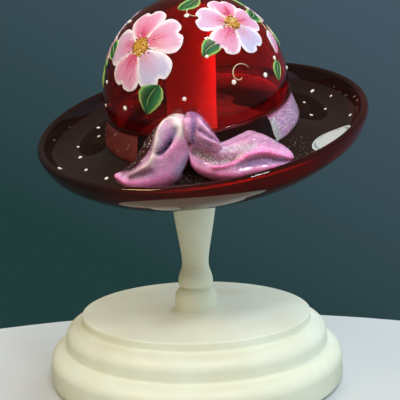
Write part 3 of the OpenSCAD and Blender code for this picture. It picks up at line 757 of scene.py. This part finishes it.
blossoms = ((-40, 43, 12, 21), (41, 49, -20, 17), (150, 44, 30, 21), (-120, 40, 5, 17))
for placed in blossoms:
    blossom(*placed)
for azimuth, elevation, turn in ((66, 21, -35), (-82, 30, 25), (95, 36, 10), (-165, 26, -20)):
    petal(azimuth, elevation, turn, 0, BUD_L, BUD_W, 0.4, 0.1, 0)
    petal(azimuth, elevation, turn + FOLD_TURN, 0.5, FOLD_L, FOLD_W, 0.55, 0.5, 0)
petal_work.piece("painted_petals", fired_enamel("streaked pink fired enamel", 0.7, 0.3))

# Hearts of the blossoms. A dab of golden enamel in the middle of each, stippled while wet with
# ochre, brown and white, and ringed by loose stamens.
GOLD_TONES = [linear(c) for c in ("C8963C", "A8742A", "E0BC6A", "8A5A22", "EFE2B8")]
HEART_SHARE, STIPPLE_SHARE, STIPPLES, STIPPLE_R, STAMENS = 0.24, 0.235, 46, 0.55, 18
GOLDEN_TURN = 2.39996
heart_work = Brushwork()


# One round drop of paint on a patch
def dab(work, spot, u, v, radius, height, colour, rings=4, sides=12):
    front = []
    for i in range(rings + 1):
        share = i / rings
        reach = radius * math.sin(share * math.pi / 2)
        lift = height * math.cos(share * math.pi / 2) + 0.02
        turns = [2 * math.pi * k / sides for k in range(sides)]
        front.append([spot(u + reach * math.cos(a), v + reach * math.sin(a), lift) for a in turns])
    work.cap(front, colour)


for azimuth, elevation, turn, radius in blossoms:
    spot = dome_spot(azimuth, elevation)
    dab(heart_work, spot, 0, 0, HEART_SHARE * radius, 1.0, GOLD_TONES[0])
    for k in range(STIPPLES):
        reach = STIPPLE_SHARE * radius * math.sqrt((k + 0.5) / STIPPLES)
        a = k * GOLDEN_TURN
        height = 1.0 + 0.35 * (1 - (k / STIPPLES) ** 2)
        dab(heart_work, spot, reach * math.cos(a), reach * math.sin(a), STIPPLE_R, height,
            rng.choice(GOLD_TONES))
    for k in range(STAMENS):
        a = math.radians(360 / STAMENS * k + rng.uniform(-6, 6))
        reach = radius * rng.uniform(0.29, 0.4)
        dab(heart_work, spot, reach * math.cos(a), reach * math.sin(a), rng.uniform(0.35, 0.55), 0.8,
            rng.choice(GOLD_TONES[2:]))
heart_work.piece("painted_hearts", fired_enamel("golden fired enamel", 0.5, 0.3))

# Leaves. Green enamel brushed on beside the blossoms and fired with them, darkest along the rib and rusty
# in places. A paler line is drawn round each leaf and up its middle.
LEAF_DARK, LEAF_MID, LEAF_RUST, LEAF_LINE = (linear(c) for c in ("17472C", "2F7A45", "5C4A38", "A5C56C"))
LEAF_ROWS, LEAF_COLUMNS, LEAF_BEND, LEAF_TEETH, TOOTH_SHARE, RIB_POINTS = 24, 16, 0.12, 5, 0.09, 10
leaf_work = Brushwork()


# A line of paint along a path on a patch, thin at both ends and round in section
def stroke(work, spot, path, width, height, colour):
    front, back = [], []
    for i, (u, v) in enumerate(path):
        before, after = path[max(i - 1, 0)], path[min(i + 1, len(path) - 1)]
        along = Vector((after[0] - before[0], after[1] - before[1])).normalized()
        taper = 0.25 + 0.75 * math.sin(math.pi * (i + 0.5) / len(path)) ** 0.5
        offsets = [taper * width / 2 * x for x in (-1, -0.6, 0, 0.6, 1)]
        lifts = [0.02 + height * taper * x for x in (0, 0.7, 1, 0.7, 0)]
        front.append([spot(u - along.y * o, v + along.x * o, h) for o, h in zip(offsets, lifts)])
        back.append([spot(u - along.y * o, v + along.x * o, PAINT_ROOT) for o in offsets])
    work.lay(front, back, [colour] * (len(path) * 5))


# One leaf with a toothed edge, bent to one side and grooved along its rib
def leaf(azimuth, elevation, turn, length, width):
    spot = dome_spot(azimuth, elevation, turn)
    seed = rng.uniform(0, 100)
    front, back, tints, outline = [], [], [], []
    for i in range(LEAF_ROWS + 1):
        s = i / LEAF_ROWS
        teeth = 1 + TOOTH_SHARE * abs(math.sin(s * math.pi * LEAF_TEETH)) if 0.08 < s < 0.95 else 1
        half = width / 2 * max(math.sin(math.pi * s ** 0.8), 0.03) ** 0.8 * teeth
        bend = LEAF_BEND * length * math.sin(math.pi * s)
        front_row, back_row = [], []
        for j in range(LEAF_COLUMNS + 1):
            t = 2 * j / LEAF_COLUMNS - 1
            u, v = bend + t * half, length * s
            streak = noise.noise((t * 5 - s * 3, v / 5, seed))
            groove = 0.16 * math.exp(-(t / 0.12) ** 2)
            front_row.append(spot(u, v, 0.08 + 0.4 * (1 - t * t) ** 0.5 - groove))
            back_row.append(spot(u, v, PAINT_ROOT))
            rust_share = 0.6 * smoothstep(0.1, 0.5, noise.noise((t, s * 2.2, seed + 9)))
            colour = blend(LEAF_DARK, LEAF_MID, smoothstep(0.1, 0.8, abs(t) + 0.35 * streak))
            colour = blend(colour, LEAF_RUST, rust_share)
            tints.append(blend(colour, LEAF_LINE, 0.7 * smoothstep(0.7, 0.98, abs(t))))
        front.append(front_row)
        back.append(back_row)
        outline.append((bend - half, bend + half, length * s))
    leaf_work.lay(front, back, tints)
    for k in (0, 1):
        stroke(leaf_work, spot, [(p[k], p[2]) for p in outline[1:-1]], 0.9, 0.5, LEAF_LINE)
    rib = []
    for k in range(RIB_POINTS):
        s = k / RIB_POINTS
        rib.append((LEAF_BEND * length * math.sin(math.pi * s), length * s))
    stroke(leaf_work, spot, rib, 0.6, 0.5, LEAF_LINE)


for placed in ((-68, 34, 70, 14, 8), (-22, 22, 150, 15, 11), (-8, 68, -35, 15, 7), (66, 46, -75, 14, 8),
               (22, 40, 110, 11, 7), (62, 18, 150, 10, 6), (128, 50, 80, 17, 9), (168, 28, -140, 15, 9),
               (-142, 45, 60, 15, 9), (-98, 34, -110, 15, 8), (-86, 24, -160, 10, 6),
               (95, 30, 170, 11, 6), (-165, 20, 175, 11, 6)):
    leaf(*placed)
leaf_work.piece("painted_leaves", fired_enamel("green fired enamel", 0.8, 0.32))

# Curls and dots. Thin cream lines and round white dots of slip, trailed from a fine point over the crown
# and the brim.
CREAM_LINE, DOT_WHITE, DUST = linear("D9C7A6"), linear("F3EFE6"), linear("A39C98")
CURL_STEPS, CURL_CLOSE, CURL_W, CURL_H = 26, 34, 0.55, 0.35
BLOSSOM_MARGIN, DOT_ROOM, BRIM_DOT_ROOM, STICKER_ROOM, DOT_TRIES, BRIM_DOT_TRIES = 3, 12, 13, 20, 220, 160
trail_work = Brushwork()
curls = ((27, 20, 20, 6, 1.5), (12, 66, -60, 5, -1.4), (84, 34, 130, 6, 1.6),
         (-80, 42, 40, 6, -1.5), (118, 26, 0, 6, 1.5), (-150, 30, 90, 6, 1.5))
for azimuth, elevation, turn, reach, wind in curls:
    path = []
    for k in range(CURL_STEPS + 1):
        r, a = reach * (1 - k / CURL_CLOSE), wind * math.pi * k / CURL_STEPS
        path.append((r * math.cos(a), r * math.sin(a)))
    stroke(trail_work, dome_spot(azimuth, elevation, turn), path, CURL_W, CURL_H, CREAM_LINE)


# A patch of the brim's dish about one place
def brim_spot(azimuth, r):
    a = math.radians(azimuth)

    def spot(u, v, lift):
        x, y = r * math.sin(a) + u, -r * math.cos(a) + v
        return Vector((x, y, brim_height(math.hypot(x, y)) + lift))
    return spot


taken = [(dome_spot(azimuth, elevation)(0, 0, 0), radius + BLOSSOM_MARGIN)
         for azimuth, elevation, turn, radius in blossoms]
for k in range(DOT_TRIES):
    azimuth, elevation = rng.uniform(-180, 180), math.degrees(math.asin(rng.uniform(0.06, 0.9)))
    place = dome_spot(azimuth, elevation)(0, 0, 0)
    behind_bow = -40 < azimuth < 12 and elevation < 12
    if behind_bow or any((place - q).length < room for q, room in taken):
        continue
    taken.append((place, DOT_ROOM))
    dab(trail_work, dome_spot(azimuth, elevation), 0, 0, rng.uniform(0.8, 1.3), 0.5, DOT_WHITE)
brim_dots = [(on_hat(62, 70.5, 0), STICKER_ROOM)]
for k in range(BRIM_DOT_TRIES):
    azimuth, r = rng.uniform(50, 308), rng.uniform(59, 79)
    place = on_hat(azimuth, r, 0)
    if any((place - q).length < room for q, room in brim_dots):
        continue
    brim_dots.append((place, BRIM_DOT_ROOM))
    dab(trail_work, brim_spot(azimuth, r), 0, 0, rng.uniform(0.7, 1.2), 0.45, DOT_WHITE)
# Loose glitter that fell round the bow and the end of the band
for low, high, inner, outer, count in ((-17, -1, 54, 66, 120), (40, 60, 54, 78, 110)):
    for k in range(count):
        spot = brim_spot(rng.uniform(low, high), rng.uniform(inner, outer))
        dab(trail_work, spot, 0, 0, rng.uniform(0.08, 0.2), 0.1, DUST, 2, 6)
trail_work.piece("painted_trails", fired_enamel("cream slip enamel", 0.6, 0.35))

# Sticker. A blank oval of gummed paper with a plain printed border, cut with a die and pressed on
# the brim's dish at the right.
LABEL_L, LABEL_W, LABEL_R, LABEL_AT, LABEL_TURN = 30.0, 13.0, 70.2, 63.5, 45.0
LABEL_RINGS, LABEL_SIDES, BORDER_FROM, BORDER_TO = 30, 72, 0.78, 0.88
PAPER_T, PAPER_ROOT = 0.16, -0.05
PULP, INK = linear("B6BCBA"), linear("7C8A86")
# Coated paper: smooth, half glossy, faintly cloudy from the pulp
paper, tree, shader = new_material("coated paper")
GRAIN_MM = 0.5
place = add(tree, "ShaderNodeTexCoord").outputs["Object"]
print_tone = add(tree, "ShaderNodeAttribute", attribute_name="tint")
grain = add(tree, "ShaderNodeTexNoise", {"Vector": place, "Scale": 1000 / GRAIN_MM, "Detail": 3.0})
pulp = add(tree, "ShaderNodeMapRange", {"Value": grain.outputs[0], 3: 0.92, 4: 1.04})
sheet_tone = add(tree, "ShaderNodeVectorMath",
                 {0: print_tone.outputs["Color"], "Scale": pulp.outputs[0]}, operation="SCALE")
tree.links.new(sheet_tone.outputs[0], shader.inputs["Base Color"])
gloss = add(tree, "ShaderNodeMapRange", {"Value": grain.outputs[0], 3: 0.35, 4: 0.55})
tree.links.new(gloss.outputs[0], shader.inputs["Roughness"])
spot = brim_spot(LABEL_AT, LABEL_R)
turn = math.radians(LABEL_TURN)
oval_rows = []
for i in range(LABEL_RINGS + 1):
    share = i / LABEL_RINGS
    lift = PAPER_T if i < LABEL_RINGS else PAPER_ROOT
    ring = []
    for k in range(LABEL_SIDES):
        a = 2 * math.pi * k / LABEL_SIDES
        u, v = share * LABEL_L / 2 * math.cos(a), share * LABEL_W / 2 * math.sin(a)
        ring.append(spot(u * math.cos(turn) - v * math.sin(turn),
                         u * math.sin(turn) + v * math.cos(turn), lift))
    oval_rows.append(ring)
sticker = Brushwork()
sticker.cap(oval_rows, PULP)
border = []
for k in range(len(sticker.points)):
    share = (1 + (k - 1) // LABEL_SIDES) / LABEL_RINGS
    border.append(INK if BORDER_FROM < share < BORDER_TO else PULP)
label = hat_piece("blank_sticker", sticker.points, sticker.faces, paper, "sticker_paper", 60)
tint(label, border)
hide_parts("label")

# Stage: a plain pale floor, a plain darker backdrop that the glass can show, and soft lamps.
scene = bpy.context.scene
FLOOR_R, FLOOR_FORWARD = 0.34, 0.235
bm = bmesh.new()
bmesh.ops.create_circle(bm, cap_ends=True, radius=FLOOR_R, segments=128)
bmesh.ops.translate(bm, verts=bm.verts, vec=(0, -FLOOR_FORWARD, 0))
floor_mesh = bpy.data.meshes.new("floor")
bm.to_mesh(floor_mesh)
bm.free()
floor = bpy.data.objects.new("floor", floor_mesh)
scene.collection.objects.link(floor)
# Painted board: matt and pale grey, with no pattern
floor_card, tree, shader = new_material("pale floor")
shader.inputs["Base Color"].default_value = linear("B9BEBF")
shader.inputs["Roughness"].default_value = 0.7
floor_mesh.materials.append(floor_card)
floor.visible_glossy = False
floor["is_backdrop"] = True

scene.view_settings.view_transform = "Standard"
world = bpy.data.worlds.new("studio")
scene.world = world
world.use_nodes = True
tree = world.node_tree
# The wall that is seen and mirrored is teal, lighter to the right, with a dim brown room above and in front.
# Ruby glass shows a plain grey glow instead. The light on the object is that of a tall window on the right.
# Inside the glass the window is narrower and brighter, for the daylight that the crown gathers on the post.
WALL_DARK, WALL_LIGHT, DIM_ROOM = linear("223C3C"), linear("526272"), linear("5E544C")
WALL_RISE, WINDOW_AT = (0.6, 0.0, 1.1), (0.84, 0.38, 0.39)
WINDOW_LIGHT, CORNER_LIGHT = (1.12, 1.3, 1.38), (0.32, 0.26, 0.13)
seen = add(tree, "ShaderNodeLightPath")
glass = seen.outputs["Is Transmission Ray"]
walls = seen.outputs["Transmission Depth"]
outside = add(tree, "ShaderNodeMath", {0: seen.outputs["Is Camera Ray"], 1: seen.outputs["Is Glossy Ray"]},
              operation="MAXIMUM")
viewed = add(tree, "ShaderNodeMath", {0: outside.outputs[0], 1: glass}, operation="MAXIMUM")
direct = add(tree, "ShaderNodeMath", {0: seen.outputs["Diffuse Depth"], 1: 0.5}, operation="LESS_THAN")
shown = add(tree, "ShaderNodeMath", {0: viewed.outputs[0], 1: direct.outputs[0]}, operation="MULTIPLY")
toward = add(tree, "ShaderNodeTexCoord").outputs["Generated"]
axes = add(tree, "ShaderNodeSeparateXYZ", {0: toward})
slope = add(tree, "ShaderNodeVectorMath", {0: toward, 1: WALL_RISE}, operation="DOT_PRODUCT")
lighter = add(tree, "ShaderNodeMapRange", {"Value": slope.outputs["Value"], 1: -0.28, 2: 0.72})
wall = add(tree, "ShaderNodeMix", {0: lighter.outputs[0], 6: WALL_DARK, 7: WALL_LIGHT}, data_type="RGBA")
above = add(tree, "ShaderNodeMapRange", {"Value": axes.outputs[2], 1: 0.25, 2: 0.6})
ahead = add(tree, "ShaderNodeMapRange", {"Value": axes.outputs[1], 1: 0.0, 2: -0.6})
room_share = add(tree, "ShaderNodeMath", {0: above.outputs[0], 1: ahead.outputs[0]}, operation="MAXIMUM")
room = add(tree, "ShaderNodeMix", {0: room_share.outputs[0], 6: wall.outputs[2], 7: DIM_ROOM},
           data_type="RGBA")
glow = add(tree, "ShaderNodeMapRange", {"Value": axes.outputs[0], 1: -0.2, 2: 0.4, 3: 0.07, 4: 0.24})
view = add(tree, "ShaderNodeMix", {0: glass, 6: room.outputs[2], 7: glow.outputs[0]}, data_type="RGBA")
brighter = add(tree, "ShaderNodeMapRange", {"Value": walls, 1: 1.0, 2: 2.0, 3: 1.0, 4: 26.0})
narrower = add(tree, "ShaderNodeMapRange", {"Value": walls, 1: 1.0, 2: 2.0, 3: 0.0, 4: 0.8})
dimmer = add(tree, "ShaderNodeMapRange", {"Value": walls, 1: 1.0, 2: 2.0, 3: 1.0, 4: 0.2})
facing = add(tree, "ShaderNodeVectorMath", {0: toward, 1: WINDOW_AT}, operation="DOT_PRODUCT")
window = add(tree, "ShaderNodeMapRange", {"Value": facing.outputs["Value"], 1: narrower.outputs[0], 2: 0.95},
             interpolation_type="SMOOTHSTEP")
pane = add(tree, "ShaderNodeVectorMath", {0: WINDOW_LIGHT, "Scale": brighter.outputs[0]}, operation="SCALE")
corner = add(tree, "ShaderNodeVectorMath", {0: CORNER_LIGHT, "Scale": dimmer.outputs[0]}, operation="SCALE")
daylight = add(tree, "ShaderNodeMix", {0: window.outputs[0], 6: corner.outputs[0], 7: pane.outputs[0]},
               data_type="RGBA")
backdrop = add(tree, "ShaderNodeMix", {0: shown.outputs[0], 6: daylight.outputs[2], 7: view.outputs[2]},
               data_type="RGBA")
tree.links.new(backdrop.outputs[2], tree.nodes["Background"].inputs["Color"])


# A soft lamp. One that is mirrored leaves a glint, and none shows through the glass.
def softbox(name, place, target, size, power, colour, mirrored):
    lamp = bpy.data.lights.new(name, "AREA")
    lamp.shape = "RECTANGLE"
    lamp.size, lamp.size_y = size
    lamp.energy = power
    lamp.color = linear(colour)[:3]
    holder = bpy.data.objects.new(name, lamp)
    holder.location = place
    holder.rotation_euler = (Vector(target) - Vector(place)).to_track_quat("-Z", "Y").to_euler()
    holder.visible_glossy, holder.visible_transmission = mirrored, False
    scene.collection.objects.link(holder)


softbox("key", (0.25, -0.55, 0.9), (0, 0, 0.12), (0.14, 0.14), 2.2, "F4F8FF", True)
softbox("ceiling", (0.1, 0.1, 1.3), (0, 0, 0), (1.4, 1.4), 6.5, "F2F8FF", False)
softbox("front", (-0.05, -0.7, 0.74), (0, 0, 0.08), (0.5, 0.4), 3.7, "E6EEFF", False)
softbox("window", (0.3, 0.85, 0.5), (0, 0, 0.03), (0.5, 0.5), 3.4, "EAF4FF", False)
softbox("warm", (-0.55, -0.45, 0.75), (0, 0, 0.05), (0.25, 0.25), 2.6, "FFD898", True)

# Camera at the photograph's viewing angle
CAMERA_AT = (3.28, -336.5, 125.4)
PITCH_DOWN, ROLL = 5.73, 1.25
FOCAL_PX, FRAME_PX, SENSOR_MM = 634.3, 400, 36.0
camera_data = bpy.data.cameras.new("camera")
camera_data.sensor_width = SENSOR_MM
camera_data.lens = FOCAL_PX / FRAME_PX * SENSOR_MM
camera = bpy.data.objects.new("camera", camera_data)
camera.matrix_world = (Matrix.Translation(Vector(CAMERA_AT) * MM)
                       @ Matrix.Rotation(math.radians(90 - PITCH_DOWN), 4, "X")
                       @ Matrix.Rotation(math.radians(-ROLL), 4, "Z"))
scene.collection.objects.link(camera)
scene.camera = camera

boxes = {name: [list(map(float, corner)) for corner in box]
         for name, box in (("cad", cad_box), ("visual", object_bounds()))}
